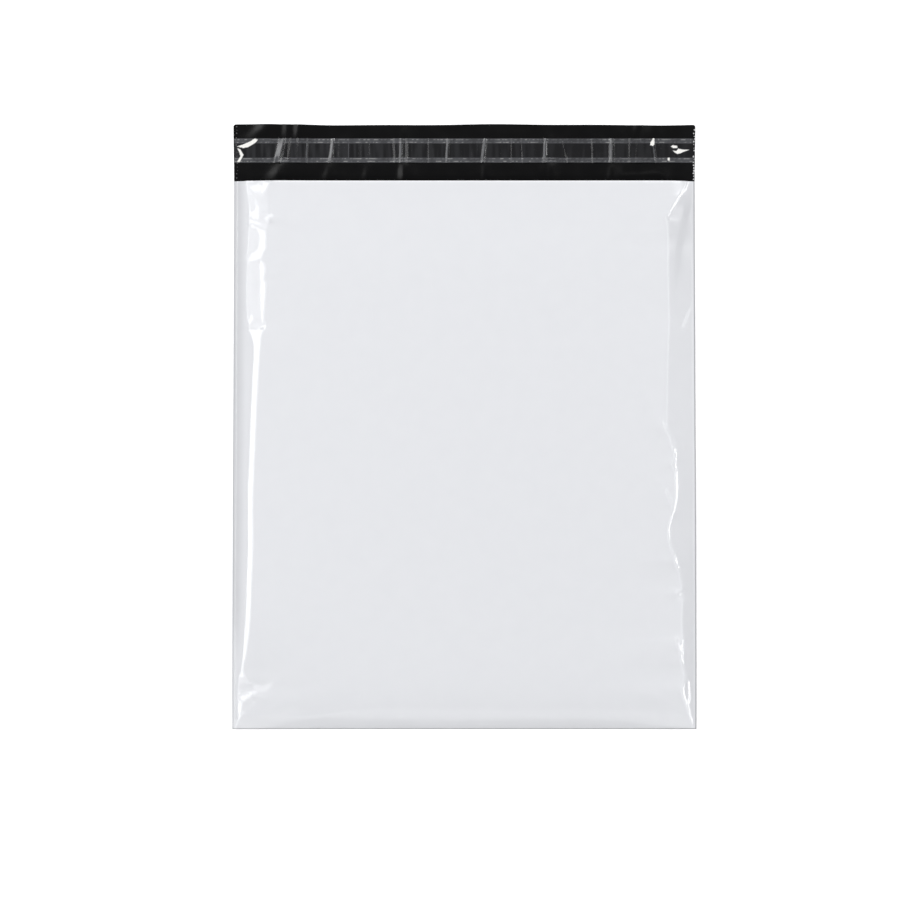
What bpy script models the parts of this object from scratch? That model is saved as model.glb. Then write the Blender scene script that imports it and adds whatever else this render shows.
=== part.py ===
"""Poly mailer bag on its back: one folded, side-welded film, its glue strip and the liner over the glue.

Metres. +X runs across the bag, +Y from the bottom fold to the lip and +Z up from the surface it lies on.
The origin is the middle of the underside of the bounding box.
"""

import math

import bmesh
import bpy

# The film, cut and folded
WIDTH = 0.500  # across the bottom fold, which lies flat
POCKET = 0.590  # bottom fold to mouth, as it lies
LIP = 0.0614  # mouth to the top edge of the lip
FILM = 0.00008  # thickness of the coextruded polyethylene film
WELD = 0.003  # width of the flat weld down each side
MOUTH_WIDTH = 0.4960  # the plump pocket draws its sides in towards the mouth
LIP_WIDTH = 0.4974  # the loose lip spreads a little again

# The plump pocket
PLATEAU = 0.0136  # how far the flat middle of the front stands over the side welds
SHOULDER_SLOPE = math.tan(math.radians(30))  # the front leaves the side welds at this slope
FOLD_SLOPE = math.tan(math.radians(29))  # and the bottom fold at this one
MOUTH_RISE = 0.0086  # how far the middle of the mouth's edge stands over the lip
MOUTH_FALL = 0.110  # the front comes down to that over this length
HIP_POWER = 5  # how sharply one slope of the front turns into the next
HIP_MARGIN = 1.03  # the slopes round off towards this much more than the plateau, which cuts them off flat
WELD_LIFT = 0.0022  # the side welds hang this far above the surface, halfway up the pocket
WELD_LIFT_POWER = 0.75  # under 1, so that they leave the surface quickly at both ends
BACK_CURVE = 0.034  # width of the margin in which the back curls up to them

# The closure on the lip's inner face
LINER_WIDTH = 0.0261
LINER_FROM_TOP = 0.0152
LINER_FILM = 0.00005
GLUE_WIDTH = 0.0142
GLUE_CROWN = 0.00006
CLEARANCE = 0.0003  # between one piece and the next
STRIP_INSET = 0.0003  # each end of the strips stops this far inside the side welds' edge

FIRST_COLUMN, FIRST_ROW, MOUTH_ROW, LIP_ROW = 0.0045, 0.004, 0.009, 0.015  # first step from each edge
COARSENING = 1.32  # each step inwards is this much longer than the last
LONGEST_LAST_STEP = 1.6  # times the step before it
FOLD_STEPS = 4

BOTTOM = -(POCKET + LIP) / 2
MOUTH = BOTTOM + POCKET
TOP = -BOTTOM

WHITE, BLACK = 0, 1  # the film's two faces


def graded(length, first):
    """Distances inwards from an edge, each step longer than the last, ending at length."""
    marks, step = [0.0], first
    while marks[-1] + LONGEST_LAST_STEP * step < length:
        marks.append(marks[-1] + step)
        step *= COARSENING
    return marks + [length]


def ease(share):
    share = min(max(share, 0.0), 1.0)
    return share * share * (3 - 2 * share)


def half_width(y):
    """Half the bag's width: full at the bottom fold, drawn in at the mouth, wider again over the lip."""
    if y <= MOUTH:
        return (WIDTH + (MOUTH_WIDTH - WIDTH) * ease((y - BOTTOM) / POCKET)) / 2
    return (MOUTH_WIDTH + (LIP_WIDTH - MOUTH_WIDTH) * ease((y - MOUTH) / LIP)) / 2


def lower_of(a, b):
    """The lower of two heights, with the hip between them rounded. It is zero wherever either one is."""
    if min(a, b) <= 0:
        return 0.0
    return (a**-HIP_POWER + b**-HIP_POWER) ** (-1 / HIP_POWER)


def weld_height(y):
    """Height of the side welds' underside: they hang over the surface and come down to it at both ends."""
    along = min(max((y - BOTTOM) / POCKET, 0.0), 1.0)
    return WELD_LIFT * math.sin(math.pi * along) ** WELD_LIFT_POWER


def back_height(x, y):
    """Height of the back's outer face, which is flat on the surface apart from a curled margin."""
    margin = max(half_width(y) - WELD - abs(x), 0.0)
    return weld_height(y) * max(1 - margin / BACK_CURVE, 0.0) ** 2


def front_height(x, y):
    """Height of the front's outer face."""
    margin = max(half_width(y) - WELD - abs(x), 0.0)
    from_fold = y - BOTTOM - FILM
    from_mouth = ease((MOUTH - y) / MOUTH_FALL)
    ceiling = MOUTH_RISE + (PLATEAU - MOUTH_RISE) * from_mouth
    side = SHOULDER_SLOPE * margin
    rise = min(lower_of(lower_of(side, FOLD_SLOPE * from_fold), ceiling * HIP_MARGIN), ceiling)
    return weld_height(y) * max(1 - margin / BACK_CURVE, 0.0) ** 2 + 2 * FILM + rise


def columns():
    """Share of the half width at each column, from side to side. The first and last steps are welds."""
    inner = WIDTH / 2 - WELD
    marks = [inner - mark for mark in graded(inner, FIRST_COLUMN)]
    half = [WIDTH / 2] + marks[:-1]
    return [-x / (WIDTH / 2) for x in half] + [0.0] + [x / (WIDTH / 2) for x in reversed(half)]


def pocket_rows():
    """Every y at which the pocket's film has a row, from the bottom fold to the mouth."""
    start, middle = BOTTOM + FILM, (BOTTOM + MOUTH) / 2
    up = [start + mark for mark in graded(middle - start, FIRST_ROW)]
    down = [MOUTH - mark for mark in graded(MOUTH - middle, MOUTH_ROW)]
    return up + down[-2::-1]


def lip_rows():
    return [TOP - mark for mark in graded(LIP, LIP_ROW)][-2::-1]


def row_of(mesh, shares, y, height):
    """A row of vertices across the bag at y, lifted to what height gives for each place."""
    return [mesh.verts.new((s * half_width(y), y, height(s * half_width(y), y))) for s in shares]


def cover(mesh, first, second, material):
    """Faces between two rows of equal length, facing the side on which second lies to the left of first."""
    for i in range(len(first) - 1):
        face = mesh.faces.new((first[i], first[i + 1], second[i + 1], second[i]))
        face.material_index = material


def fold_rows(mesh, shares, front, back):
    """Rows round the outside of the bottom fold, from the front's first row to the back's."""
    rows = []
    for k in range(1, FOLD_STEPS):
        turn = math.pi * k / FOLD_STEPS
        y = BOTTOM + FILM * (1 - math.sin(turn))
        rows.append([
            mesh.verts.new((a.co.x, y, (a.co.z + b.co.z) / 2 + (a.co.z - b.co.z) / 2 * math.cos(turn)))
            for a, b in zip(front, back)
        ])
    return rows


def film_mesh():
    """The whole film: outer face, inner face, and the cut edges and welds that close them to each other."""
    mesh = bmesh.new()
    shares, ys, lip_ys = columns(), pocket_rows(), lip_rows()
    inner = shares[1:-1]

    front = [row_of(mesh, shares, y, front_height) for y in ys]
    back = [row_of(mesh, shares, y, back_height) for y in ys + lip_ys]
    fold = fold_rows(mesh, shares, front[0], back[0])
    outer = front[::-1] + fold + back
    for upper, lower in zip(outer, outer[1:]):
        cover(mesh, lower, upper, WHITE)

    # Inside, the front and the back share their vertices along both welds and in the crease of the fold.
    def front_lining(x, y):
        return front_height(x, y) - FILM

    def back_lining(x, y):
        return back_height(x, y) + FILM

    front_inner = [row_of(mesh, inner, y, front_lining) for y in ys]
    back_inner = [front_inner[0]]
    for row, y in zip(front_inner[1:], ys[1:]):
        middle = row_of(mesh, inner[1:-1], y, back_lining)
        back_inner.append([row[0]] + middle + [row[-1]])
    for lower, upper in zip(front_inner, front_inner[1:]):
        cover(mesh, upper, lower, BLACK)
    for lower, upper in zip(back_inner, back_inner[1:]):
        cover(mesh, lower, upper, BLACK)

    # Past the mouth the back goes on as the lip, as wide as the welds are.
    corners = row_of(mesh, [shares[0], shares[-1]], MOUTH, back_lining)
    lip = [[corners[0]] + back_inner[-1] + [corners[1]]]
    lip += [row_of(mesh, shares, y, back_lining) for y in lip_ys]
    for lower, upper in zip(lip, lip[1:]):
        cover(mesh, lower, upper, BLACK)

    # Cut edges: across the mouth and along the lip's top.
    cover(mesh, front[-1][1:-1], front_inner[-1], WHITE)
    cover(mesh, lip[-1], back[-1], WHITE)
    # Down each side: the weld's ends at the mouth, its edge, the end of the fold and the lip's edge.
    at_mouth = len(ys) - 1
    for side, turned in ((0, False), (-1, True)):
        inside = 1 if side == 0 else -2
        polygons = [
            (front[-1][side], front[-1][inside], front_inner[-1][side], corners[side]),
            (front[-2][side], front[-1][side], corners[side])
            + (back[at_mouth][side], back[at_mouth - 1][side]),
            [front[0][side], back[0][side]] + [row[side] for row in reversed(fold)],
        ]
        polygons += [
            (front[j][side], front[j + 1][side], back[j + 1][side], back[j][side])
            for j in range(at_mouth - 1)
        ]
        polygons += [
            (lip[j][side], lip[j + 1][side], back[at_mouth + j + 1][side], back[at_mouth + j][side])
            for j in range(len(lip) - 1)
        ]
        for corner_list in polygons:
            mesh.faces.new(corner_list[::-1] if turned else corner_list)
    bmesh.ops.recalc_face_normals(mesh, faces=mesh.faces)
    return mesh


def strip_mesh(profile, length):
    """A strip that runs across the bag, from the outline of its section as (y, z) points."""
    mesh = bmesh.new()
    section = mesh.faces.new([mesh.verts.new((-length / 2, y, z)) for y, z in profile])
    swept = bmesh.ops.extrude_face_region(mesh, geom=[section])
    ends = [part for part in swept["geom"] if isinstance(part, bmesh.types.BMVert)]
    bmesh.ops.translate(mesh, verts=ends, vec=(length, 0, 0))
    bmesh.ops.recalc_face_normals(mesh, faces=mesh.faces)
    return mesh


def crowned_section(width, edge, crown, steps=6):
    """A strip's section on a flat underside at zero, edge thick at its sides and crown more in its middle."""
    bowed = []
    for k in range(steps + 1):
        across = 1 - 2 * k / steps
        bowed.append((across * width / 2, edge + crown * (1 - across * across)))
    return [(-width / 2, 0.0), (width / 2, 0.0)] + bowed


def plastic(name, colour, roughness, alpha=1.0):
    material = bpy.data.materials.new(name)
    material.use_nodes = True
    shader = material.node_tree.nodes["Principled BSDF"]
    shader.inputs["Base Color"].default_value = (*colour, 1.0)
    shader.inputs["Roughness"].default_value = roughness
    shader.inputs["Metallic"].default_value = 0.0
    shader.inputs["Alpha"].default_value = alpha
    return material


def part(name, mesh, materials, location=(0, 0, 0)):
    """A named object from a bmesh, placed by its location."""
    data = bpy.data.meshes.new(name)
    mesh.to_mesh(data)
    mesh.free()
    for material in materials:
        data.materials.append(material)
    made = bpy.data.objects.new(name, data)
    made.location = location
    bpy.context.scene.collection.objects.link(made)
    return made


def main():
    for old in list(bpy.data.objects):
        bpy.data.objects.remove(old)
    white = plastic("white_outer_film", (0.78, 0.79, 0.82), 0.28)
    black = plastic("black_inner_film", (0.012, 0.012, 0.013), 0.32)
    glue = plastic("hot_melt_glue", (0.55, 0.50, 0.38), 0.20, alpha=0.35)
    clear = plastic("clear_liner_film", (0.80, 0.80, 0.83), 0.12, alpha=0.30)

    film = part("mailer_film", film_mesh(), [white, black])
    film.data.shade_smooth()

    closure_y = TOP - LINER_FROM_TOP - LINER_WIDTH / 2
    strip_length = MOUTH_WIDTH - 2 * STRIP_INSET
    glue_edge = GLUE_CROWN / 3
    glue_section = crowned_section(GLUE_WIDTH, glue_edge, GLUE_CROWN - glue_edge)
    part("adhesive_strip", strip_mesh(glue_section, strip_length), [glue], (0, closure_y, FILM + CLEARANCE))

    liner_low = FILM + CLEARANCE + GLUE_CROWN + CLEARANCE
    liner_section = crowned_section(LINER_WIDTH, LINER_FILM, 0.0, steps=1)
    part("release_liner", strip_mesh(liner_section, strip_length), [clear], (0, closure_y, liner_low))


main()
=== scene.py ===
"""The finished look of a poly mailer bag that lies on its back: the creased film with its side welds, the
hot-melt strip on the lip and the wrinkled liner over it, on a pale studio floor.

Metres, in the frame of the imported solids: +X across the bag, +Y towards the lip, +Z up. Places on the
bag are listed in millimetres as (across, along): across from the middle line, along from the fold.
"""

import math

import bmesh
import bpy
import numpy as np
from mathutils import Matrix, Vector, noise


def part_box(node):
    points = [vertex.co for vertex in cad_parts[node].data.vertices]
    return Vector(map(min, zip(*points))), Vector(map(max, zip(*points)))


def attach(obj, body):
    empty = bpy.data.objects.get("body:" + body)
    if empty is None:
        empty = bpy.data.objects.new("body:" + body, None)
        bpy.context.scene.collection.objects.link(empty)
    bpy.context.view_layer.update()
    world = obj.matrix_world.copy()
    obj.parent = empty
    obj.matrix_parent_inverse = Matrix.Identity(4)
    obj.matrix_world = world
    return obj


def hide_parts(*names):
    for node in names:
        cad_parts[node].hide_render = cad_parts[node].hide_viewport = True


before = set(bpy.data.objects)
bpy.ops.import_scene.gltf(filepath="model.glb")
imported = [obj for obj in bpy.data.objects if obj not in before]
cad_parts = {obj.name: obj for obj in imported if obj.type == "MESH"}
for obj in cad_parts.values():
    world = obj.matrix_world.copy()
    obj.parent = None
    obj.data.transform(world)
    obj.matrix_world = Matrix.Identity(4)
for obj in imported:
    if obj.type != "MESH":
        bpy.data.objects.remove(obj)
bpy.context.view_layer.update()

MM = 0.001

# ------------------------ the bag's own sizes, in millimetres
film_low, film_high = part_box("mailer_film")
glue_low, glue_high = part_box("adhesive_strip")
liner_low, liner_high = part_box("release_liner")

WIDTH = (film_high.x - film_low.x) / MM
LENGTH = (film_high.y - film_low.y) / MM
FOLD_Y = film_low.y / MM
LIP = 61.4  # mouth to the top edge of the lip
POCKET = LENGTH - LIP
FILM = 0.08  # thickness
WELD = 3.0  # width of each side weld
MOUTH_WIDTH = 496.0
LIP_WIDTH = 497.4
PLATEAU = (film_high.z - film_low.z) / MM - 2 * FILM
MOUTH_RISE = 8.6
WELD_LIFT = 2.2
BACK_CURVE = 34.0

STEEP = 0.72  # steepest slope of the margins beside the welds
SHINE = 0.38  # slope of a facet that catches the left-hand strip light
GLINT = 0.58  # slope of a facet that catches the right-hand one
HALF = 0.14  # slope of the soft ground between two such facets


# ------------------------ small numeric helpers
def ease(share):
    share = np.clip(share, 0.0, 1.0)
    return share * share * (3 - 2 * share)


def half_width(along):
    """Half the bag's width: drawn in towards the mouth, a little wider again over the lip."""
    pocket = WIDTH + (MOUTH_WIDTH - WIDTH) * ease(along / POCKET)
    lip = MOUTH_WIDTH + (LIP_WIDTH - MOUTH_WIDTH) * ease((along - POCKET) / LIP)
    return np.where(along <= POCKET, pocket, lip) / 2


def inside(polygon, across, along):
    """True where a place lies inside the polygon."""
    found = np.zeros(np.broadcast(across, along).shape, bool)
    for (x0, v0), (x1, v1) in zip(polygon, polygon[1:] + polygon[:1]):
        if v0 == v1:
            continue
        crosses = (along >= min(v0, v1)) & (along < max(v0, v1))
        found ^= crosses & (across < x0 + (along - v0) * (x1 - x0) / (v1 - v0))
    return found


def blurred(field, sizes):
    """The field smoothed along both axes by bell curves of these sizes, in cells."""
    for axis, size in enumerate(sizes):
        reach = int(3 * size) + 1
        bell = np.exp(-0.5 * (np.arange(-reach, reach + 1) / size) ** 2)
        bell /= bell.sum()
        padded = np.pad(field, [(reach, reach) if a == axis else (0, 0) for a in (0, 1)], mode="edge")
        field = sum(
            weight * np.take(padded, np.arange(k, k + field.shape[axis]), axis)
            for k, weight in enumerate(bell)
        )
    return field


def path_offset(path, across, along):
    """Distance from a polyline, and how far along it the nearest place is, as a share of its length."""
    points = np.array(path, float)
    lengths = np.hypot(*(points[1:] - points[:-1]).T)
    best = np.full(np.broadcast(across, along).shape, 1e9)
    share = np.zeros_like(best)
    side = np.ones_like(best)
    done = 0.0
    for (x0, v0), (x1, v1), length in zip(points[:-1], points[1:], lengths):
        t = np.clip(((across - x0) * (x1 - x0) + (along - v0) * (v1 - v0)) / length**2, 0, 1)
        off_x, off_v = across - (x0 + t * (x1 - x0)), along - (v0 + t * (v1 - v0))
        distance = np.hypot(off_x, off_v)
        nearer = distance < best
        best = np.where(nearer, distance, best)
        share = np.where(nearer, (done + t * length) / lengths.sum(), share)
        side = np.where(nearer, np.where((x1 - x0) * off_v - (v1 - v0) * off_x > 0, -1.0, 1.0), side)
        done += length
    return best, share, side


def pleat(path, height, left, right, across, along, fade=0.25):
    """A raised fold along a path, that falls over left and right millimetres to its two sides."""
    distance, share, side = path_offset(path, across, along)
    width = np.where(side > 0, right, left)
    ends = ease(share / fade) * ease((1 - share) / fade) if fade else 1.0
    return height * np.exp(-((distance / width) ** 2)) * ends


# ------------------------ the shape of the pocket's front
# Where each shoulder's catch-light starts and ends, as (along, across)
LEFT_BROW = [
    (0, -247.6), (5, -246.8), (15, -243.6), (38, -243.6), (50, -243.2), (60, -241.4), (70, -239.8),
    (80, -238.6), (100, -237.2), (120, -235.4), (140, -234.8), (194, -232.6), (248, -232.8),
    (302, -230.6), (356, -228.5), (410, -225.2), (420, -226.2), (431, -230.7), (455, -233.2),
    (504, -233.2), (545, -230.2), (560, -229.7), (581, -232.7), (590, -234.2),
]
LEFT_RIDGE = [
    (0, -247), (5, -246), (13, -242), (22, -232), (30, -227), (42, -226), (50, -228), (58, -239.6),
    (70, -237.2), (80, -234), (100, -230.8), (120, -229), (140, -228), (194, -226), (248, -226.2),
    (302, -224), (356, -221.8), (410, -218.2), (430, -216.2), (437, -214.7), (450, -214.7),
    (465, -213.2), (478, -212.2), (484, -215.7), (491, -213.2), (498, -213.7), (508, -217.7),
    (517, -212.2), (535, -212.2), (541, -211), (551, -208.5), (575, -210), (590, -209),
]
RIGHT_BROW = [
    (0, 248.1), (8, 245.4), (18, 241.8), (25, 240.4), (33, 237), (44, 233.8), (52, 237.2), (58, 238.2),
    (67, 235.8), (75, 233.4), (80, 233.8), (88, 235.1), (100, 234.8), (120, 233.3), (140, 235),
    (148, 234), (160, 233), (172, 230.5), (178, 229.5), (185, 226.6), (200, 221), (208, 219.6),
    (218, 220), (228, 222.6), (235, 226), (241, 227.4), (250, 228.4), (262, 229.4), (275, 228.4),
    (283, 226.4), (295, 226.8), (306, 226.4), (318, 221), (330, 217), (345, 217), (380, 217.5),
    (420, 218.6), (440, 220), (460, 219), (500, 218), (520, 218.6), (536, 218), (551, 217),
    (557, 222.4), (562, 226), (570, 230.5), (578, 235), (588, 241), (590, 242),
]
RIGHT_STREAK = [
    (0, 0.6), (8, 1.6), (25, 1.8), (44, 1.6), (52, 0.8), (67, 0.8), (75, 1.5), (84, 2), (91, 3),
    (98, 0.4), (140, 0.4), (150, 0.8), (172, 1.2), (178, 3.6), (181, 1.5), (200, 1.4), (218, 2),
    (230, 2.8), (240, 3), (250, 2.6), (262, 4.4), (273, 4), (278, 1.4), (298, 1.6), (304, 3.4),
    (308, 3), (312, 1.2), (330, 0.6), (345, 0.4), (546, 0.4), (556, 2.4), (562, 4.2), (570, 3.6),
    (578, 3), (586, 1.6), (590, 1),
]  # (along, width) of the right-hand catch-light, inwards from its brow

# Facets on the broken part of the left shoulder: polygons of (across, along), and their slope
LEFT_FACETS = [
    ([(-232.7, 583), (-230.2, 581.5), (-224.2, 572), (-220.2, 563), (-219.8, 550),
      (-211.2, 547.6), (-209.2, 546), (-212.2, 544.6), (-221.2, 545.4), (-227.2, 547.6),
      (-230.2, 551), (-229.2, 565)], SHINE),
    ([(-230.2, 576), (-226.6, 570), (-224.2, 562), (-226.2, 557.4), (-227.8, 557), (-228.8, 563)], HALF),
    ([(-215.2, 551), (-211.7, 553), (-208.6, 550), (-208.6, 545), (-212.2, 545)], SHINE),
    ([(-230.7, 546), (-227.7, 544.6), (-224.2, 541.6), (-212.7, 536.4), (-211.8, 518),
      (-217.6, 509), (-217.8, 505), (-228.2, 502.6), (-233.6, 504), (-230.2, 510),
      (-228.6, 513.6), (-224.6, 513), (-221.6, 520), (-220.6, 530), (-223.6, 537), (-228.6, 538.4)], SHINE),
    ([(-218.8, 506), (-215.6, 503.6), (-212.8, 497), (-212.8, 491), (-215.8, 484), (-211.8, 480),
      (-213.2, 463), (-214.8, 440), (-212.2, 436), (-216.2, 425), (-220.2, 418), (-224.2, 418),
      (-230.8, 431), (-225.2, 431.4), (-219.2, 430), (-216.8, 434), (-218.6, 440), (-219.8, 460),
      (-219.8, 480), (-221.2, 498)], SHINE),
    ([(-233.6, 455), (-230.2, 450.6), (-225.8, 443), (-226.2, 440), (-229.2, 436.6),
      (-231.8, 430.6), (-231.8, 437), (-230.2, 447)], SHINE),
    ([(-232.8, 504), (-230.6, 492), (-230.8, 470), (-232, 455), (-232.8, 455), (-232.2, 470),
      (-232, 492)], SHINE),
    ([(-221.2, 590), (-206.2, 590), (-213.8, 579), (-216.8, 573), (-217.8, 577), (-217.8, 584)], 0.36),
    ([(-244, 41), (-241, 41.4), (-240, 37.4), (-236.6, 40), (-227.6, 40), (-229, 35.6),
      (-238, 29.6), (-241.6, 33)], SHINE),
    ([(-243.4, 60), (-241, 60), (-242.2, 50), (-243, 41), (-244.2, 41), (-243.8, 50)], SHINE),
    ([(-243.4, 34), (-238.6, 29.6), (-239.6, 22), (-242, 13), (-243.6, 13), (-243.4, 24)], SHINE),
]
RIGHT_FACETS = [
    ([(214.6, 257.4), (218, 257), (223, 245), (226, 240), (222.6, 238), (219.6, 247)], GLINT),
    ([(211, 331), (213, 331), (221, 319), (228, 308), (227, 301), (221.6, 305), (220, 314)], 0.46),
    ([(221.6, 288), (224, 289), (226.6, 283), (225, 281), (222.4, 283)], 0.52),
    ([(221, 172), (230, 172), (234, 150), (227, 150)], 0.1),
    ([(225, 149), (229.6, 148), (233.6, 149.4), (234.6, 142), (231, 143.6)], 0.68),
    ([(225.6, 98), (228, 97.6), (232, 92.6), (235, 93), (234.6, 87), (231.4, 83), (229, 90)], 0.68),
    ([(240.6, 53), (242, 52), (243, 36), (241.6, 27), (240.6, 27), (241.6, 37)], 0.70),
    ([(245, 592), (243.6, 562), (239, 540), (233, 512), (228, 470), (224, 470), (227, 512),
      (233, 545), (238, 566), (241, 592)], 0.50),
    ([(244.6, 456), (243, 450), (237, 434), (234, 434), (238, 446)], 0.1),
    ([(234.4, 320), (236.6, 320), (236, 300), (234.4, 300)], 0.54),
]
RASTER = 0.5  # cell of the fields that the shoulders are worked out on, in millimetres
REACH = 125.0  # how far in from the weld they reach


def plateau_height(along):
    """How high the flat middle of the front stands over the side welds."""
    from_fold = 1 - np.exp(-np.maximum(along, 0) / 20.0)
    to_mouth = ease((POCKET - along) / 110.0)
    return PLATEAU * from_fold * (MOUTH_RISE / PLATEAU + (1 - MOUTH_RISE / PLATEAU) * to_mouth)


def weld_height(along):
    return WELD_LIFT * np.sin(math.pi * np.clip(along / POCKET, 0, 1)) ** 0.75


def curl(across, along):
    """Height of the back's outer face: flat on the floor but for a margin that curls up to the welds."""
    margin = np.maximum(half_width(along) - WELD - np.abs(across), 0)
    side = np.sign(across)
    wave = 1 + 0.22 * np.sin(along / 31.0 + side) + 0.12 * np.sin(along / 11.3 + 2 * side)
    return weld_height(along) * wave * np.maximum(1 - margin / BACK_CURVE, 0) ** 2


def evened(load, hold, stiffness):
    """The relief that bears this load when every place keeps to its slope equally firmly.

    It solves for each sine across the raster in turn, from the fold to the mouth.
    """
    rows, columns = load.shape
    sines = np.sin(math.pi * np.outer(np.arange(columns), np.arange(columns)) / columns)
    bend = hold * (2 - 2 * np.cos(math.pi * np.arange(columns) / columns)) / RASTER**2
    load = load @ sines * 2 / columns
    down = np.zeros_like(load)
    answer = np.zeros_like(load)
    for j in range(1, rows):
        pivot = bend + (2 if j < rows - 1 else 1) * stiffness - stiffness * down[j - 1]
        down[j] = stiffness / pivot
        answer[j] = (load[j] + stiffness * answer[j - 1]) / pivot
    for j in range(rows - 2, 0, -1):
        answer[j] += down[j] * answer[j + 1]
    return answer @ sines


def settled(pull, hold, stiffness=0.014, rounds=60):
    """The low relief whose slopes come nearest to pull, held down on three sides and free at the mouth.

    hold is how firmly each place keeps to its slope, and stiffness how much the film resists sloping along
    the bag. Found by conjugate gradients.
    """
    hold = np.concatenate([(hold[:, 1:] + hold[:, :-1]) / 2, hold[:, -1:]], axis=1)
    pull = np.concatenate([(pull[:, 1:] + pull[:, :-1]) / 2, pull[:, -1:]], axis=1)

    def gathered(strain):
        load = np.concatenate([strain[:, :1], strain[:, :-1] - strain[:, 1:]], axis=1) / RASTER
        load[:, 0] = 0
        load[0] = 0
        return load

    def stress(relief):
        across = np.diff(relief, axis=1, append=0) / RASTER
        along = stiffness * np.diff(relief, axis=0)
        load = gathered(hold * across)
        load[1:] += along
        load[1:-1] -= along[1:]
        return load

    relief = np.zeros_like(pull)
    rest = gathered(hold * pull)
    eased = evened(rest, hold.mean(), stiffness)
    move, energy = eased, (rest * eased).sum()
    for _ in range(rounds):
        pushed = stress(move)
        pace = energy / (move * pushed).sum()
        relief = relief + pace * move
        rest = rest - pace * pushed
        eased = evened(rest, hold.mean(), stiffness)
        energy, before = (rest * eased).sum(), energy
        move = eased + energy / before * move
    return relief


def shoulder(side, brow, ridge, facets, ground, base, least, steep, tail):
    """Height of the front beside one side weld, on a raster of (along, distance in from the weld).

    Between its brow and its ridge the base surface has the slope that base gives for each place along the
    bag, and ground is the slope that shows there between the facets. The margin outside is between least and
    steep, and tail is how far in the slope takes to die away.
    """
    along = np.arange(0, POCKET + 1, 1.0)[:, None]
    inward = np.arange(0, REACH, RASTER)[None, :]
    edge = half_width(along) - WELD
    across = side * (edge - inward)
    brow_in = np.maximum(edge - side * np.interp(along, *zip(*brow)), 0.2)
    ridge_in = np.maximum(edge - side * np.interp(along, *zip(*ridge)), brow_in + 0.3)
    soft_brow, soft_ridge = blurred(brow_in, (7, 0.1)), blurred(ridge_in, (7, 0.1))
    start = curl(side * edge, along)
    height = plateau_height(along) - start

    # The base surface: a steep margin, the shoulder, and a tail that eases off to the flat
    slope = ease(inward - soft_brow + 0.5) * ease(soft_ridge - inward + 0.5) * base(along)
    margin = ease(soft_brow - inward + 0.5)
    pitch = np.clip((0.92 * height - slope.sum(1, keepdims=True) * RASTER) / soft_brow, least, steep(along))
    slope = slope + pitch * margin
    left_over = height - slope.sum(1, keepdims=True) * RASTER
    fall = np.exp(-np.maximum(inward - soft_ridge, 0) / tail(along)) * ease(inward - soft_ridge + 0.5)
    slope = slope + fall * left_over / (fall.sum(1, keepdims=True) * RASTER)

    # What the facets ask for instead, and how firmly
    between = ease((inward - brow_in) / 0.8 + 0.5) * ease((ridge_in - inward) / 0.8 + 0.5)
    wanted = slope * (1 - between) + ground(along) * between
    firm = 0.1 + 0.5 * between + 0.1 * margin
    for polygon, facet_slope in facets:
        mask = blurred(inside(polygon, across, along).astype(float), (0.5, 0.7))
        wanted = wanted * (1 - mask) + facet_slope * mask
        firm = np.maximum(firm, mask)
    return start + np.cumsum(slope, axis=1) * RASTER + settled(wanted - slope, firm)


def sample(raster, along, inward):
    """The raster's value at each place, blended from its four nearest cells."""
    row = np.clip(along, 0, raster.shape[0] - 1.001)
    column = np.clip(inward / RASTER, 0, raster.shape[1] - 1.001)
    j, i = row.astype(int), column.astype(int)
    fv, fu = row - j, column - i
    low = raster[j, i] * (1 - fu) + raster[j, i + 1] * fu
    high = raster[j + 1, i] * (1 - fu) + raster[j + 1, i + 1] * fu
    return low * (1 - fv) + high * fv


right_ridge = [(along, across - np.interp(along, *zip(*RIGHT_STREAK))) for along, across in RIGHT_BROW]


def right_slope(along):
    """Slope between the right-hand brow and ridge: that of a catch-light where it is wide enough to show."""
    width = np.interp(along, *zip(*RIGHT_STREAK))
    return np.interp(width, [0.6, 1.1, 1.8, 3.0], [0.34, 0.72, 0.72, GLINT])


def between_marks(marks, values):
    """A function of the place along the bag that runs straight between these values."""
    return lambda along: np.interp(along, marks, values)


LEFT_RISE = shoulder(
    -1, LEFT_BROW, LEFT_RIDGE, LEFT_FACETS,
    ground=between_marks([12, 20, 48, 58, 416, 430], [SHINE, 0.08, 0.08, SHINE, SHINE, HALF]),
    base=between_marks([12, 20, 48, 58, 400, 450], [SHINE, 0.22, 0.22, SHINE, SHINE, 0.26]),
    least=0.48, steep=between_marks([0], [STEEP]),
    tail=between_marks([60, 90, 160, 470, 520], [80, 60, 24, 24, 60]))
RIGHT_RISE = shoulder(
    1, RIGHT_BROW, right_ridge, RIGHT_FACETS, ground=right_slope, base=right_slope,
    least=0.0, steep=between_marks([300, 360, 480, 520, 560, 590], [0.5, 0.38, 0.36, 0.31, 0.4, 0.6]),
    tail=between_marks([540, 572], [60, 9]))

# Long soft folds in the flat of the front: path, height, width to either side
SOFT_FOLDS = [
    ([(-247, 2), (-196, 24), (-140, 52)], 0.50, 7, 7),
    ([(-247, 3), (-214, 36), (-170, 88)], 0.55, 6, 8),
    ([(-246, 1), (-180, 10), (-110, 22)], 0.40, 5, 6),
    ([(242, 586), (190, 560), (120, 500), (70, 430)], 0.55, 12, 16),
    ([(243, 588), (170, 578), (90, 560)], 0.45, 8, 12),
    ([(-212, 440), (-200, 452), (-170, 476)], 0.30, 4, 6),
    ([(-213, 485), (-205, 489), (-190, 494)], 0.25, 3, 4),
    ([(226, 306), (206, 330), (180, 372)], 0.45, 5, 7),
    ([(217, 256), (204, 268), (186, 282)], 0.30, 4, 5),
    ([(246, 6), (216, 30), (176, 46)], 0.40, 5, 7),
    ([(-69, 2), (-68, 8), (-66, 16)], 0.35, 4, 4),
    ([(88, 2), (88, 8), (86, 18)], 0.35, 4, 4),
]


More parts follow.
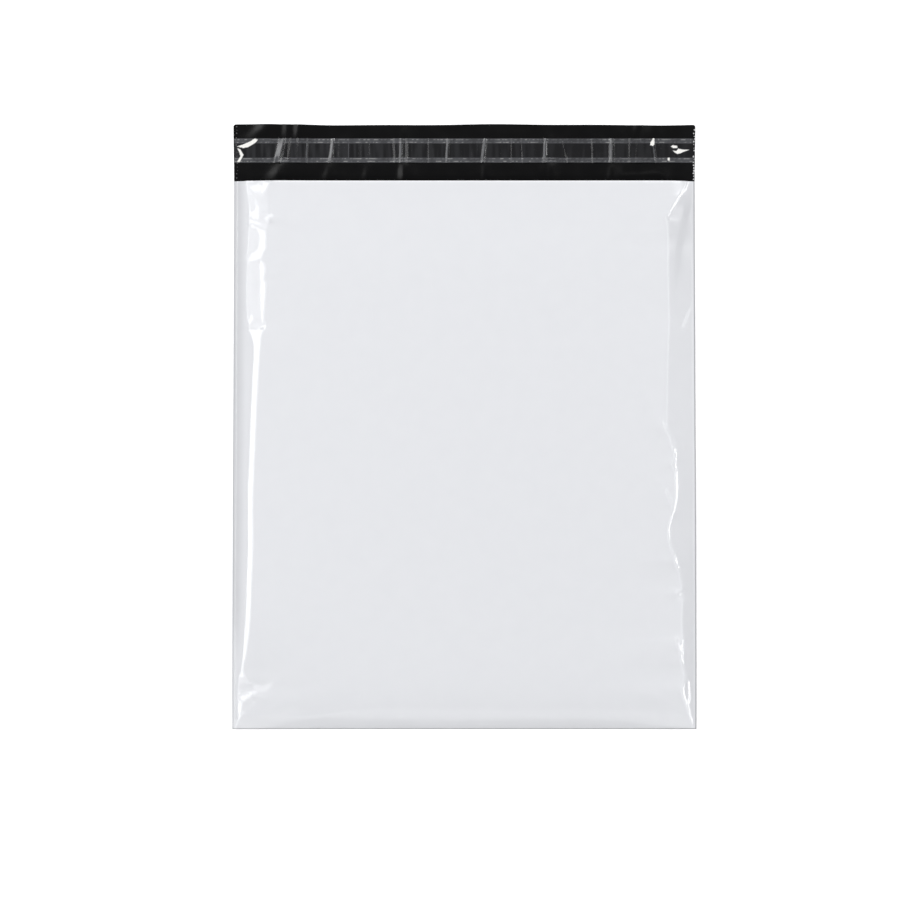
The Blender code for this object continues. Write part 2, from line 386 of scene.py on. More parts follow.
def crinkle(across, along, size, seed):
    """Smooth seeded noise about zero, with features of about this size."""
    flat = np.stack([np.ravel(across), np.ravel(along)], 1) / size
    values = [noise.noise(Vector((x, v, seed))) for x, v in flat]
    return np.reshape(values, np.shape(across))


def front_height(across, along):
    """Height of the front's outer face."""
    edge = half_width(along) - WELD
    left, right = sample(LEFT_RISE, along, edge + across), sample(RIGHT_RISE, along, edge - across)
    rise = left + right - plateau_height(along)
    flat = ease(rise / 6.0)
    for fold in SOFT_FOLDS:
        rise = rise + pleat(*fold, across, along) * flat
    rise = rise + flat * (0.22 * crinkle(across, along, 40.0, 1.5) + 0.02 * crinkle(across, along, 12.0, 4.5))
    hem = 0.40 * ease((along - POCKET + 1.8) / 1.8) * ease(rise / 2.0)
    return 2 * FILM + np.maximum(rise - hem, curl(across, along))


# ------------------------ the lip, and what lies on it
LIP_FACETS = [
    ([(-223, 585), (-205, 585), (-193, 612), (-204, 612)], 0.17),
    ([(-160, 585), (-150, 585), (-141, 611), (-148, 611)], 0.19),
    ([(-114, 585), (-106, 585), (-102, 610), (-108, 610)], 0.19),
    ([(-74, 585), (-64, 585), (-64, 612), (-72, 612)], 0.25),
    ([(16, 585), (22.4, 585), (23.6, 612), (17.6, 612)], 0.23),
    ([(80, 594), (84, 594), (86.4, 611), (82, 611)], 0.24),
    ([(87, 585), (92, 585), (93.4, 611), (88.6, 611)], 0.27),
    ([(151, 585), (157, 585), (160, 611), (154.4, 611)], 0.28),
    ([(-246, 634), (-236, 639), (-220, 657), (-206, 657), (-219, 641), (-232, 634)], 0.19),
    ([(-199, 636), (-190, 636), (-188, 657), (-198, 657)], 0.17),
    ([(-186, 636), (-179, 636), (-176, 657), (-185, 657)], 0.22),
    ([(-72, 636), (-65, 636), (-65, 644), (-70, 644)], 0.22),
    ([(84, 636), (90, 636), (88, 644), (85, 644)], 0.25),
    ([(178, 636), (186, 640), (190, 657), (181, 657)], 0.27),
    ([(200, 600), (212, 592), (222, 590), (212, 597), (204, 602)], 0.20),
]  # where the lip faces the left-hand light, and its slope there
LIP_CREASE = ([(162, 595), (200, 597.4), (208, 597), (222, 591)], 0.45, 2.2, 2.2)


def ratchet(polygons, fall, left, right, low, high, sizes):
    """Relief on a raster of (along, across) that climbs at each polygon's slope and falls back at one."""
    along = np.arange(low, high + 1, 1.0)[:, None]
    across = np.arange(left, right, RASTER)[None, :]
    slope = np.full(np.broadcast(along, across).shape, -float(fall))
    for polygon, steepness in polygons:
        slope = np.where(inside(polygon, across, along), steepness, slope)
    relief = np.zeros_like(slope)
    for i in range(1, relief.shape[1]):
        relief[:, i] = np.maximum(relief[:, i - 1] + slope[:, i] * RASTER, 0)
    return blurred(relief, sizes)


LIP_LEFT, LIP_RIGHT, LIP_LOW, LIP_HIGH = -252.0, 252.0, 586.0, 656.0
LIP_FIELD = (LIP_LEFT, LIP_RIGHT, LIP_LOW, LIP_HIGH)
LIP_RELIEF = ratchet(LIP_FACETS, 0.13, *LIP_FIELD, (5.5, 3.0))


def lip_height(across, along):
    """Height of the lip's inner face over the floor, without the film's thickness."""
    past = ease((along - POCKET + 6) / 14.0)
    lift = 0.35 + 0.30 * crinkle(across, along, 70.0, 12.5) + 0.04 * crinkle(across, along, 21.0, 15.5)
    lift = lift + sample(LIP_RELIEF, along - LIP_LOW, across - LIP_LEFT)
    lift = lift + pleat(*LIP_CREASE, across, along, fade=0.15)
    return past * np.maximum(lift, 0)


def back_height(across, along):
    """Height of the back's outer face, over the pocket and on over the lip."""
    return curl(across, along) * (along <= POCKET) + lip_height(across, along)


def top_edge(across):
    """How far the lip's cut edge wanders from a straight line."""
    wander = 0.5 * np.sin(across / 47.0 + 0.6) + 0.25 * np.sin(across / 19.0)
    corner = 1.6 * ease((np.abs(across) - LIP_WIDTH / 2 + 2.4) / 2.4) ** 2
    return wander - corner - 0.4


# ------------------------ the film's mesh
def spread(first, last, step):
    """Marks from first to last, about step apart."""
    return np.linspace(first, last, max(int(round(abs(last - first) / step)), 1) + 1)


def column_marks():
    """Shares of the half width: fine over the welds and shoulders, coarser in the middle."""
    half = WIDTH / 2
    weld = [0.0, 0.7, 1.5, 2.2]
    shoulder_marks = list(spread(WELD, 48.0, 1.1))
    middle = list(spread(48.0, half, 2.1))[1:-1]
    left = weld + shoulder_marks + middle
    marks = [-(half - m) for m in left] + [0.0] + [half - m for m in reversed(left)]
    return np.array(marks) / half, len(weld), len(shoulder_marks)


def cell_walk(exists, rows, columns):
    """Faces over a coarse grid, taking in every finer vertex that exists on a cell's rim."""
    faces = []
    for a, b in zip(rows, rows[1:]):
        for p, q in zip(columns, columns[1:]):
            rim = [(a, i) for i in range(p, q)] + [(j, q) for j in range(a, b)]
            rim += [(b, i) for i in range(q, p, -1)] + [(j, p) for j in range(b, a, -1)]
            face = [exists[at] for at in rim if at in exists]
            faces += [face[:3], face[2:] + face[:1]] if len(face) == 4 else [face]
    return faces


class Shell:
    """Vertices and faces of the film as they are gathered, with the material of each face."""

    def __init__(self):
        self.points, self.faces, self.materials = [], [], []

    def vertices(self, places, across, along, height):
        """New vertices for these (row, column) places; returns a dict from place to index."""
        first = len(self.points)
        self.points.extend(zip(across, along, height))
        return {at: first + k for k, at in enumerate(places)}

    def add(self, faces, material, flip=False):
        for face in faces:
            self.faces.append(face[::-1] if flip else face)
            self.materials.append(material)


OUTSIDE, INSIDE = 0, 1


def film_mesh():
    """The film as one closed shell: both faces of the pocket and lip, the fold, the welds and cut edges."""
    shares, weld, fine = column_marks()
    last = len(shares) - 1
    pocket = np.concatenate([
        [FILM, 0.8, 1.6], spread(3, 45, 1.8), spread(45, 120, 2.7)[1:], spread(120, 400, 3.2)[1:],
        spread(400, POCKET - 1.8, 1.75)[1:], [POCKET - 1.0, POCKET]])
    mouth = len(pocket) - 1
    lip = spread(POCKET, LENGTH, 2.0)[1:]
    along = np.concatenate([pocket, lip])
    top = len(along) - 1
    every = list(range(last + 1))
    middle = range(weld + fine, last - weld - fine + 1)
    front_columns = [i for i in every if i not in middle or (i - last // 2) % 4 == 0]
    back_columns = [i for i in every if i in (0, weld, last - weld, last) or (i - last // 2) % 8 == 0]
    lip_columns = [i for i in every if i < weld or i > last - weld or i in middle or (i - weld) % 2 == 0]
    lip_columns = sorted(set(lip_columns) | set(back_columns))
    back_rows = sorted(set(range(0, mouth, 3)) | {mouth})

    def grid(places, height):
        rows, columns = np.array([at[0] for at in places]), np.array([at[1] for at in places])
        v = along[rows]
        x = shares[columns] * half_width(v)
        z = height(x, v)
        v = v + np.where(rows == top, top_edge(x), 0) + np.where(rows == top - 1, 0.5 * top_edge(x), 0)
        return shell.vertices(places, x, v, z)

    shell = Shell()
    front = grid([(j, i) for j in range(mouth + 1) for i in front_columns], front_height)
    sides = {0, last}
    back_places = {(j, i) for j in back_rows for i in back_columns} | {(0, i) for i in front_columns}
    back_places |= {(j, i) for j in range(mouth + 1) for i in sides}
    back_places |= {(j, i) for j in range(mouth, top + 1) for i in lip_columns}
    back = grid(sorted(back_places), back_height)
    shell.add(cell_walk(front, range(mouth + 1), front_columns), OUTSIDE)
    shell.add(cell_walk(back, back_rows, back_columns), OUTSIDE, flip=True)
    shell.add(cell_walk(back, range(mouth, top + 1), lip_columns), OUTSIDE, flip=True)

    # The fold: two more rows round the outside, and its two ends
    def fold_row(turn):
        row = {}
        for i in front_columns:
            a, b = shell.points[front[0, i]], shell.points[back[0, i]]
            z = (a[2] + b[2]) / 2 + (a[2] - b[2]) / 2 * math.cos(turn)
            row.update(shell.vertices([(0, i)], [a[0]], [FILM * (1 - math.sin(turn))], [z]))
        return row

    rows = [front, fold_row(math.pi / 3), fold_row(math.pi * 2 / 3), back]
    for above, below in zip(rows, rows[1:]):
        for p, q in zip(front_columns, front_columns[1:]):
            shell.add([[above[0, q], above[0, p], below[0, p], below[0, q]]], OUTSIDE)
    for i in (0, last):
        shell.add([[row[0, i] for row in rows]], OUTSIDE, flip=i == 0)

    # The linings share their vertices along both welds and in the crease of the fold
    inner = [i for i in front_columns if weld <= i <= last - weld]
    places = [(j, i) for j in range(mouth + 1) for i in inner]
    front_in = grid(places, lambda x, v: front_height(x, v) - FILM)
    shell.add(cell_walk(front_in, range(mouth + 1), inner), INSIDE, flip=True)
    creases = {weld, last - weld}
    shared = {at: front_in[at] for at in front_in if at[0] == 0 or at[1] in creases}
    back_inner = [i for i in back_columns if weld <= i <= last - weld]
    places = {(j, i) for j in back_rows for i in back_inner}
    places |= {(j, i) for j in range(mouth, top + 1) for i in lip_columns}
    lining = grid(sorted(places - set(shared)), lambda x, v: back_height(x, v) + FILM)
    lining.update(shared)
    shell.add(cell_walk(lining, back_rows, back_inner), INSIDE)
    shell.add(cell_walk(lining, range(mouth, top + 1), lip_columns), INSIDE)

    # Cut edges: the mouth, the top of the lip, the ends of the welds and their long edges
    for p, q in zip(inner, inner[1:]):
        shell.add([[front[mouth, p], front[mouth, q], front_in[mouth, q], front_in[mouth, p]]], OUTSIDE)
    for p, q in zip(lip_columns, lip_columns[1:]):
        shell.add([[lining[top, p], lining[top, q], back[top, q], back[top, p]]], OUTSIDE)
    for i, step in ((0, 1), (last, -1)):
        turned = step < 0
        for k in range(weld):
            p, q = i + k * step, i + (k + 1) * step
            end = [front[mouth, p], front[mouth, q], lining[mouth, q], lining[mouth, p]]
            shell.add([end], OUTSIDE, turned)
        for j in range(mouth):
            quad = [front[j, i], front[j + 1, i], back[j + 1, i], back[j, i]]
            if j == mouth - 1:
                quad.insert(2, lining[mouth, i])
            shell.add([quad], OUTSIDE, turned)
        for j in range(mouth, top):
            shell.add([[lining[j, i], lining[j + 1, i], back[j + 1, i], back[j, i]]], OUTSIDE, turned)
    return shell


def edge_line_and_painted_shade(across, along):
    """How much the white film is darkened: by the black inner layer at its cut sides, with painted shade that
    makes that line darker on the right, by a painted shadow along the fold, and by painted shade over the
    margins beside the welds.
    """
    inset = half_width(along) - np.abs(across)
    # The cut sides: the black inner layer where it shows, with painted shade making the line darker on the
    # right than on the left
    line = np.interp(inset, [0.0, 0.7, 1.5], [0.30, 1.0, 0.0])
    side = line * np.where(across > 0, 0.85, 0.40)
    # Painted shadow along the fold
    fold = np.interp(along, [0.08, 0.8, 1.6], [0.25, 0.62, 0.0])
    # Painted shade over the left margin beside the weld
    left = 0.19 * ease((15 - inset) / 10) * ease((along - 60) / 80)
    # Painted shade over the right margin outside its brow, and a painted darker band along it near the mouth
    brow = np.interp(along, *zip(*RIGHT_BROW))
    right = np.interp(along, [60, 180, 260, 340, 440, 480, 520, 545, 565, 590],
                      [0.12, 0.09, 0.07, 0.05, 0.06, 0.08, 0.11, 0.14, 0.15, 0.10])
    right = right * ease((across - brow) / 5 + 0.3)
    right = right + pleat([(228, 470), (231, 520), (237, 545), (243, 584)], 0.05, 5, 6, across, along)
    return np.maximum(np.maximum(side, fold), np.where(across < 0, left, right))


def smooth_object(name, points, faces, materials, face_materials=None, angle=50):
    """An object at the origin from points in millimetres, its faces turned outwards and shaded smooth."""
    data = bpy.data.meshes.new(name)
    points = np.array(points) + (0, FOLD_Y, 0)
    data.from_pydata((points * MM).tolist(), [], faces)
    for material in materials:
        data.materials.append(material)
    if face_materials is not None:
        data.polygons.foreach_set("material_index", face_materials)
    mesh = bmesh.new()
    mesh.from_mesh(data)
    bmesh.ops.recalc_face_normals(mesh, faces=mesh.faces)
    mesh.to_mesh(data)
    mesh.free()
    data.shade_smooth()
    data.set_sharp_from_angle(angle=math.radians(angle))
    made = bpy.data.objects.new(name, data)
    bpy.context.scene.collection.objects.link(made)
    return made


# ------------------------ materials
def node(tree, kind, **values):
    made = tree.nodes.new(kind)
    for key, value in values.items():
        if key in made.inputs.keys():
            made.inputs[key].default_value = value
        else:
            setattr(made, key, value)
    return made


def wire(tree, *links):
    """Join sockets, each link as (source node, its output, target node, its input)."""
    for source, output, target, socket in links:
        tree.links.new(source.outputs[output], target.inputs[socket])


def film_grain_group():
    """Fine unevenness of blown film: cloudy gloss, and tiny lumps and draw lines along the web."""
    group = bpy.data.node_groups.new("film grain", "ShaderNodeTree")
    for name in ("Cloud scale", "Lump scale", "Gloss low", "Gloss high"):
        group.interface.new_socket(name=name, in_out="INPUT", socket_type="NodeSocketFloat")
    group.interface.new_socket(name="Vector", in_out="INPUT", socket_type="NodeSocketVector")
    for name in ("Roughness", "Height", "Cloud"):
        group.interface.new_socket(name=name, in_out="OUTPUT", socket_type="NodeSocketFloat")
    start, end = group.nodes.new("NodeGroupInput"), group.nodes.new("NodeGroupOutput")
    cloud = node(group, "ShaderNodeTexNoise", Detail=3.0)
    lumps = node(group, "ShaderNodeTexNoise", Detail=2.0)
    stretch = node(group, "ShaderNodeMapping")
    stretch.inputs["Scale"].default_value = (1.0, 0.03, 1.0)
    lines = node(group, "ShaderNodeTexNoise", Detail=2.0)
    gloss = node(group, "ShaderNodeMapRange")
    gloss.inputs["From Min"].default_value = 0.3
    gloss.inputs["From Max"].default_value = 0.7
    both = node(group, "ShaderNodeMath", operation="ADD")
    wire(group,
         (start, "Vector", cloud, "Vector"), (start, "Cloud scale", cloud, "Scale"),
         (start, "Vector", lumps, "Vector"), (start, "Lump scale", lumps, "Scale"),
         (start, "Vector", stretch, "Vector"), (stretch, "Vector", lines, "Vector"),
         (start, "Lump scale", lines, "Scale"), (cloud, "Fac", gloss, "Value"),
         (start, "Gloss low", gloss, "To Min"), (start, "Gloss high", gloss, "To Max"),
         (lumps, "Fac", both, 0), (lines, "Fac", both, 1),
         (gloss, "Result", end, "Roughness"), (both, "Value", end, "Height"), (cloud, "Fac", end, "Cloud"))
    return group


FILM_GRAIN = film_grain_group()


def film_material(name, colour, shade, gloss, ior, bump, lumps=900.0, clouds=60.0):
    """Polyethylene film: its colour drifts towards a shade, its gloss is cloudy and its face uneven."""
    material = bpy.data.materials.new(name)
    material.use_nodes = True
    tree = material.node_tree
    shader = tree.nodes["Principled BSDF"]
    shader.inputs["IOR"].default_value = ior
    place = node(tree, "ShaderNodeTexCoord")
    grain = tree.nodes.new("ShaderNodeGroup")
    grain.node_tree = FILM_GRAIN
    grain.inputs["Cloud scale"].default_value = clouds
    grain.inputs["Lump scale"].default_value = lumps
    grain.inputs["Gloss low"].default_value = gloss[0]
    grain.inputs["Gloss high"].default_value = gloss[1]
    tint = node(tree, "ShaderNodeMix", data_type="RGBA")
    tint.inputs["A"].default_value = (*colour, 1)
    tint.inputs["B"].default_value = (*shade, 1)
    rough = node(tree, "ShaderNodeBump", Strength=bump, Distance=0.0001)
    wire(tree,
         (place, "Object", grain, "Vector"), (grain, "Cloud", tint, "Factor"),
         (tint, "Result", shader, "Base Color"), (grain, "Roughness", shader, "Roughness"),
         (grain, "Height", rough, "Height"), (rough, "Normal", shader, "Normal"))
    return material


def paint_edge_line_and_shade(material):
    """The white film is mixed towards dark grey by the edge attribute: the black inner layer at the cut
    sides, painted shadow along the fold and painted shade over the margins.
    """
    tree = material.node_tree
    shader = tree.nodes["Principled BSDF"]
    edge_line_and_shade_node = node(tree, "ShaderNodeAttribute", attribute_name="edge_line_and_painted_shade")
    edge = node(tree, "ShaderNodeMix", data_type="RGBA")
    # The dark grey of the cut edge line, used for the painted shade as well
    edge.inputs["B"].default_value = (0.16, 0.16, 0.17, 1)
    tree.links.new(shader.inputs["Base Color"].links[0].from_socket, edge.inputs["A"])
    wire(tree, (edge_line_and_shade_node, "Fac", edge, "Factor"), (edge, "Result", shader, "Base Color"))


def cloud_liner(material):
    """The liner turns from clear to milky and then white with its haze, which also carries painted reflection
    and painted highlights.
    """
    tree = material.node_tree
    shader = tree.nodes["Principled BSDF"]
    haze_and_highlight_node = node(tree, "ShaderNodeAttribute", attribute_name="haze_and_highlight")
    body = tree.nodes.new("ShaderNodeValToRGB")
    body.color_ramp.elements[0].color = (0.012, 0.012, 0.013, 1)
    # The white end shows the painted highlights of the crumpled places
    body.color_ramp.elements[1].color = (0.88, 0.87, 0.84, 1)
    milky = body.color_ramp.elements.new(0.5)
    milky.color = (0.105, 0.107, 0.115, 1)
    cover = node(tree, "ShaderNodeMapRange")
    cover.inputs["To Min"].default_value = 0.80
    wire(tree,
         (haze_and_highlight_node, "Fac", body, "Fac"), (haze_and_highlight_node, "Fac", cover, "Value"),
         (body, "Color", shader, "Base Color"), (cover, "Result", shader, "Alpha"))


# Name, colour, its shade, gloss from and to, refractive index, bump
white_film = film_material(
    "white film", (0.765, 0.775, 0.803), (0.740, 0.750, 0.780), (0.06, 0.11), 1.50, 0.05)
paint_edge_line_and_shade(white_film)
black_film = film_material(
    "black film", (0.0060, 0.0060, 0.0063), (0.0045, 0.0045, 0.0048), (0.15, 0.24), 1.34, 0.05)
glue_finish = film_material(
    "hot melt", (0.022, 0.022, 0.024), (0.012, 0.012, 0.014), (0.22, 0.34), 1.45, 0.30, 500.0)
liner_finish = film_material(
    "clear liner", (0.012, 0.012, 0.013), (0.008, 0.008, 0.009), (0.08, 0.16), 1.48, 0.06)
cloud_liner(liner_finish)

# ------------------------ the pieces
shell = film_mesh()
film = smooth_object(
    "mailer_film_creased", shell.points, shell.faces, [white_film, black_film], shell.materials)
places = np.array(shell.points)
tone = film.data.attributes.new("edge_line_and_painted_shade", "FLOAT", "POINT")
tone.data.foreach_set("value", edge_line_and_painted_shade(places[:, 0], places[:, 1]))
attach(film, "root")
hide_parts("mailer_film")

CLOSURE = (glue_low.y + glue_high.y) / 2 / MM - FOLD_Y  # middle of the glue and of the liner
GLUE_WIDTH = (glue_high.y - glue_low.y) / MM
LINER_WIDTH = (liner_high.y - liner_low.y) / MM
STRIP_LENGTH = (liner_high.x - liner_low.x) / MM


def strip_shell(columns, rows, low, high):
    """A closed thin strip over a grid of places, between two heights."""
    x, v = np.meshgrid(columns, rows)
    upper, lower = high(x, v), low(x, v)
    count = x.size
    points = np.concatenate([
        np.stack([x.ravel(), v.ravel(), upper.ravel()], 1),
        np.stack([x.ravel(), v.ravel(), lower.ravel()], 1),
    ])
    index = np.arange(count).reshape(x.shape)
    faces = []
    for j in range(len(rows) - 1):
        for i in range(len(columns) - 1):
            quad = [index[j, i], index[j, i + 1], index[j + 1, i + 1], index[j + 1, i]]
            faces.append([int(k) for k in quad])
            faces.append([int(k) + count for k in reversed(quad)])
    rim = list(index[0]) + list(index[1:, -1]) + list(index[-1, -2::-1]) + list(index[-2:0:-1, 0])
    for a, b in zip(rim, rim[1:] + rim[:1]):
        faces.append([int(b), int(a), int(a) + count, int(b) + count])
    return points, faces


def glue_top(across, along):
    edge = 1 - ((along - CLOSURE) / (GLUE_WIDTH / 2)) ** 2
    crown = 0.10 * np.sqrt(np.maximum(edge, 0)) + 0.02 * np.abs(crinkle(across, along, 3.0, 21.5))
    return lip_height(across, along) + FILM + 0.02 + crown


# Sharp wrinkles of the liner: middle at its top and bottom edge, and the width that faces the left strip
LINER_WRINKLES = [
    (-196, -203.5, 6.4), (-141.4, -145.4, 3.6), (-68.4, -69.4, 3.0), (-18.2, -19.4, 2.4),
    (22.0, 18.4, 3.4), (86.8, 85.6, 3.0), (157.2, 157.4, 4.0), (202.4, 205.2, 1.4),
    (-169.4, -170.2, 1.5), (-125, -124.6, 0.9),
]
# Soft ones: the same, and their slope, which only faces the panel overhead
LINER_WAVES = [
    (-187, -191, 5.0, 0.17), (-178, -182, 5.0, 0.14), (-153, -155, 4.0, 0.10),
    (-134.6, -136, 2.4, 0.20), (-129, -129, 2.0, 0.16), (-112, -113, 6.0, 0.13),
    (-102, -102.6, 1.8, 0.27), (-76, -75, 4.0, 0.22), (-62, -61.4, 5.0, 0.24),
    (-38.4, -38.6, 2.6, 0.25), (-33.4, -34, 1.6, 0.22), (-12.6, -14, 2.0, 0.24),
    (-2.4, -3.4, 2.6, 0.19), (8, 8.4, 1.6, 0.26), (14.4, 14, 2.6, 0.20), (39.6, 40, 2.4, 0.24),
    (51, 50.6, 3.0, 0.26), (61, 63, 3.0, 0.26), (67.4, 67.4, 2.0, 0.28), (77, 77, 3.0, 0.20),
    (104.6, 111, 3.0, 0.27), (110, 112, 1.6, 0.30), (137, 138.4, 3.4, 0.29), (143, 142, 2.4, 0.24),
    (178, 178, 4.0, 0.25), (186.4, 184, 3.0, 0.28), (196, 197, 2.4, 0.26), (208, 216, 3.0, 0.29),
    (216, 224, 2.6, 0.26), (-213, -209, 3.6, 0.10),
]
# Crumpled places painted white as highlights, as polygons of (across, along)
LINER_PAINTED_HIGHLIGHTS = [
    [(-244.6, 627.6), (-238, 629.6), (-230, 633), (-226, 635.6), (-222.4, 635), (-225, 631.6),
     (-233, 627), (-238, 626)],
    [(-244.4, 625.6), (-241.4, 624.4), (-238, 618.6), (-239.6, 615.4), (-242, 611), (-244.6, 611),
     (-241, 617), (-242.4, 621.6)],
    [(200, 629), (200.6, 632), (202.4, 634.6), (203.4, 637.4), (204.4, 636.6), (204.6, 629.6),
     (202.6, 628.2)],
    [(222.4, 627.4), (224.6, 628.8), (229, 628), (229.4, 626.2), (224.4, 626)],
    [(224.6, 623), (228.4, 622.6), (230.6, 625.2), (233, 624.4), (241.6, 623.8), (237, 622.4),
     (232.6, 620.4), (229.4, 619.6), (226.6, 621)],
    [(219.4, 615.4), (221, 615), (220.6, 612.4), (219, 612.6)],
]
GLUED_EDGE = GLUE_WIDTH / 2
LINER_LOW, LINER_HIGH = CLOSURE - LINER_WIDTH / 2, CLOSURE + LINER_WIDTH / 2


def strip_slope(across):
    """Slope at which the liner shows the left-hand strip light to someone overhead."""
    return 0.456 + 0.00037 * across


def band(top, bottom, width):
    """A band of this width across the liner, as a polygon."""
    return [(bottom - width / 2, LINER_LOW - 4), (bottom + width / 2, LINER_LOW - 4),
            (top + width / 2, LINER_HIGH + 4), (top - width / 2, LINER_HIGH + 4)]


soft = [(band(top, bottom, width), slope) for top, bottom, width, slope in LINER_WAVES]
sharp = [(band(top, bottom, width), strip_slope(top)) for top, bottom, width in LINER_WRINKLES]
LINER_RELIEF = ratchet(soft, 0.10, *LIP_FIELD, (1.0, 1.2)) + ratchet(sharp, 0.85, *LIP_FIELD, (0.6, 0.5))


def loose_ribs(off):
    """The two fine ribs along each loose margin of the liner."""
    return np.exp(-((np.abs(off) - 8.9) / 0.6) ** 2) + np.exp(-((np.abs(off) - 11.7) / 0.6) ** 2)


def liner_height(across, along):
    """Height of the liner's upper face."""
    off = along - CLOSURE
    loose = ease((np.abs(off) - GLUED_EDGE - 0.1) / 0.8)
    height = lip_height(across, along) + FILM + 0.30
    height = height + sample(LINER_RELIEF, along - LIP_LOW, across - LIP_LEFT)
    speckle = 0.10 * crinkle(across, along, 1.9, 31.5) + 0.08 * crinkle(across, along * 3, 4.0, 33.5)
    fine = 0.012 * crinkle(across, along * 0.12, 2.2, 35.5) + 0.07 * crinkle(across, along * 0.1, 6.0, 37.5)
    return height + loose * (0.08 * loose_ribs(off) + np.abs(speckle)) + fine


def liner_haze_and_highlights(across, along):
    """How cloudy the liner is: clear over the glue, milky where it is loose, which is partly a painted
    reflection of the air gap under it, with painted highlights of milky haze along the sharp wrinkles and
    painted white highlights at the crumpled places.
    """
    off = along - CLOSURE
    loose = ease((np.abs(off) - GLUED_EDGE - 0.1) / 0.8)
    dots = ease(crinkle(across, along, 2.3, 41.5) * 1.6 + 0.5)
    patches = ease(crinkle(across, along * 0.2, 14.0, 43.5) * 1.4 + 0.5)
    # Loose margins: milky, partly painted reflection of the air gap under them, with ribs, dots and patches
    haze_and_highlight = loose * (0.24 + 0.24 * loose_ribs(off) * (0.3 + dots) + 0.12 * patches)
    streaks = ease(crinkle(across, along * 0.1, 3.2, 45.5) * 1.5 + 0.4)
    haze_and_highlight = np.maximum(haze_and_highlight, 0.03 + 0.08 * streaks * (1 - 0.5 * ease(across / 200 + 0.5)))
    # Painted highlight: milky haze along the middle of each sharp wrinkle
    for top, bottom, width in LINER_WRINKLES:
        middle = bottom + (top - bottom) * (along - LINER_LOW) / LINER_WIDTH
        haze_and_highlight = np.maximum(haze_and_highlight, 0.42 * ease(1.6 - 2.4 * np.abs(across - middle) / width))
    # Painted highlights: the crumpled places turn white
    for polygon in LINER_PAINTED_HIGHLIGHTS:
        distance = path_offset(polygon + polygon[:1], across, along)[0]
        distance = np.where(inside(polygon, across, along), 0, distance)
        haze_and_highlight = np.maximum(haze_and_highlight, 1 - ease(distance / 0.6))
    return haze_and_highlight


liner_columns = spread(-STRIP_LENGTH / 2, STRIP_LENGTH / 2, 0.75)
liner_rows = spread(CLOSURE - LINER_WIDTH / 2, CLOSURE + LINER_WIDTH / 2, 0.72)
points, faces = strip_shell(liner_columns, liner_rows, lambda x, v: liner_height(x, v) - 0.05, liner_height)
liner = smooth_object("release_liner_wrinkled", points, faces, [liner_finish])
places = np.array(points)
haze_and_highlight = liner.data.attributes.new("haze_and_highlight", "FLOAT", "POINT")
haze_and_highlight.data.foreach_set("value", liner_haze_and_highlights(places[:, 0], places[:, 1]))
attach(liner, "root")
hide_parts("release_liner")

glue_columns = spread(-STRIP_LENGTH / 2 + 0.4, STRIP_LENGTH / 2 - 0.4, 2.0)
glue_rows = spread(CLOSURE - GLUE_WIDTH / 2, CLOSURE + GLUE_WIDTH / 2, 1.2)
points, faces = strip_shell(glue_columns, glue_rows, lambda x, v: lip_height(x, v) + FILM + 0.01, glue_top)
glue = smooth_object("hot_melt_band", points, faces, [glue_finish])
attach(glue, "root")
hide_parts("adhesive_strip")


# ------------------------ the crimps at both ends of the lip
def crimp_tree():
    """Geometry Nodes: small pressed beads at even steps along a path, each nudged and sized a little."""
    tree = bpy.data.node_groups.new("crimp row", "GeometryNodeTree")
    tree.interface.new_socket(name="Path", in_out="INPUT", socket_type="NodeSocketGeometry")
    for name in ("Spacing", "Bead width", "Bead length", "Bead height", "Jitter"):
        tree.interface.new_socket(name=name, in_out="INPUT", socket_type="NodeSocketFloat").default_value = MM
    tree.interface.new_socket(name="Seed", in_out="INPUT", socket_type="NodeSocketInt").default_value = 1
    tree.interface.new_socket(name="Finish", in_out="INPUT", socket_type="NodeSocketMaterial")
    tree.interface.new_socket(name="Beads", in_out="OUTPUT", socket_type="NodeSocketGeometry")
    start, end = tree.nodes.new("NodeGroupInput"), tree.nodes.new("NodeGroupOutput")
    line = tree.nodes.new("GeometryNodeMeshToCurve")
    steps = node(tree, "GeometryNodeCurveToPoints", mode="LENGTH")
    bead = node(tree, "GeometryNodeMeshIcoSphere", Radius=0.5, Subdivisions=2)
    size = tree.nodes.new("ShaderNodeCombineXYZ")
    shaped = tree.nodes.new("GeometryNodeTransform")
    nudge = node(tree, "FunctionNodeRandomValue", data_type="FLOAT_VECTOR")
    nudge.inputs["Min"].default_value = (-1, -1, 0)
    reach = node(tree, "ShaderNodeVectorMath", operation="SCALE")
    grow = node(tree, "FunctionNodeRandomValue", data_type="FLOAT")
    grow.inputs[2].default_value, grow.inputs[3].default_value = 0.5, 1.2
    moved = tree.nodes.new("GeometryNodeSetPosition")
    row = tree.nodes.new("GeometryNodeInstanceOnPoints")
    real = tree.nodes.new("GeometryNodeRealizeInstances")
    finish = tree.nodes.new("GeometryNodeSetMaterial")
    wire(tree,
         (start, "Path", line, "Mesh"), (line, "Curve", steps, "Curve"),
         (start, "Spacing", steps, "Length"), (start, "Bead width", size, "X"),
         (start, "Bead length", size, "Y"), (start, "Bead height", size, "Z"),
         (bead, "Mesh", shaped, "Geometry"), (size, "Vector", shaped, "Scale"),
         (start, "Seed", nudge, "Seed"), (start, "Seed", grow, "Seed"),
         (nudge, "Value", reach, "Vector"), (start, "Jitter", reach, "Scale"),
         (steps, "Points", moved, "Geometry"), (reach, "Vector", moved, "Offset"),
         (moved, "Geometry", row, "Points"), (shaped, "Geometry", row, "Instance"),
         (row, "Instances", real, "Geometry"), (real, "Geometry", finish, "Geometry"),
         (start, "Finish", finish, "Material"), (finish, "Geometry", end, "Beads"),
         (grow, 1, row, "Scale"))
    return tree


CRIMP_TREE = crimp_tree()


